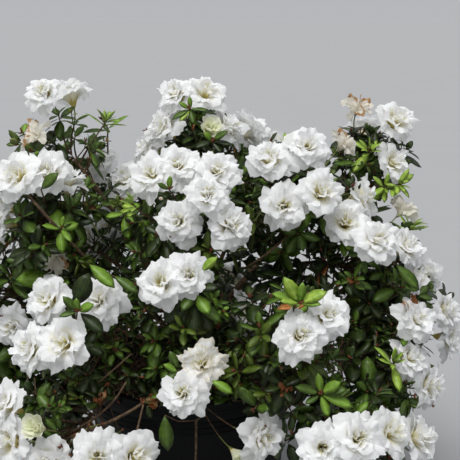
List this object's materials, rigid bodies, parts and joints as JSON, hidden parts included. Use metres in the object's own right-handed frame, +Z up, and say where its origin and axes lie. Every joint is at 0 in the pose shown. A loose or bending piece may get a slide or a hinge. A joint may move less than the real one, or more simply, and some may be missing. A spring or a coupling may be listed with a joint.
{
  "type": "potted double-flowered azalea shrub",
  "caption": "Rounded evergreen azalea in full white double bloom, on a short many-stemmed trunk in a black nursery pot, free standing on the pot's flat underside.",
  "frame": {"origin": "middle of the pot's flat underside, where it stands on the ground", "axes": "+Z up along the pot's axis, -Y towards the front of the plant, +X to the right seen from the front"},
  "size_m": [0.6926, 0.6487, 0.6108],
  "materials": {
    "pot_plastic": "satin moulded black",
    "potting_mix": "matte, loose bark and peat",
    "bark": "matte, finely cracked",
    "foliage": "satin leaves with soft white petals"
  },
  "bodies": {
    "root": {"pot": "pot_plastic", "potting_mix": "potting_mix", "trunk": "bark", "limb_top": "bark", "limb_left_top": "bark", "limb_back_right_upper": "bark", "limb_back_top": "bark", "limb_front_left": "bark", "limb_front_right": "bark", "limb_back_right": "bark", "limb_back_left": "bark", "limb_centre_upper": "bark", "limb_right_upper": "bark", "limb_left_upper": "bark", "limb_back_left_upper": "bark", "limb_right": "bark", "limb_front_centre": "bark", "limb_left": "bark", "limb_right_low": "bark", "limb_front_right_low": "bark", "limb_front_low": "bark", "limb_front_left_low": "bark", "limb_left_low": "bark", "limb_back_centre": "bark", "limb_back_left_low": "bark", "limb_back_low": "bark", "limb_back_right_low": "bark", "spray_top": "foliage", "spray_left_top": "foliage", "spray_back_right_upper": "foliage", "spray_back_top": "foliage", "spray_front_left": "foliage", "spray_front_right": "foliage", "spray_back_right": "foliage", "spray_back_left": "foliage", "spray_centre_upper": "foliage", "spray_right_upper": "foliage", "spray_left_upper": "foliage", "spray_back_left_upper": "foliage", "spray_right": "foliage", "spray_front_centre": "foliage", "spray_left": "foliage", "spray_right_low": "foliage", "spray_front_right_low": "foliage", "spray_front_low": "foliage", "spray_front_left_low": "foliage", "spray_left_low": "foliage", "spray_back_centre": "foliage", "spray_back_left_low": "foliage", "spray_back_low": "foliage", "spray_back_right_low": "foliage"}
  },
  "joints": []
}
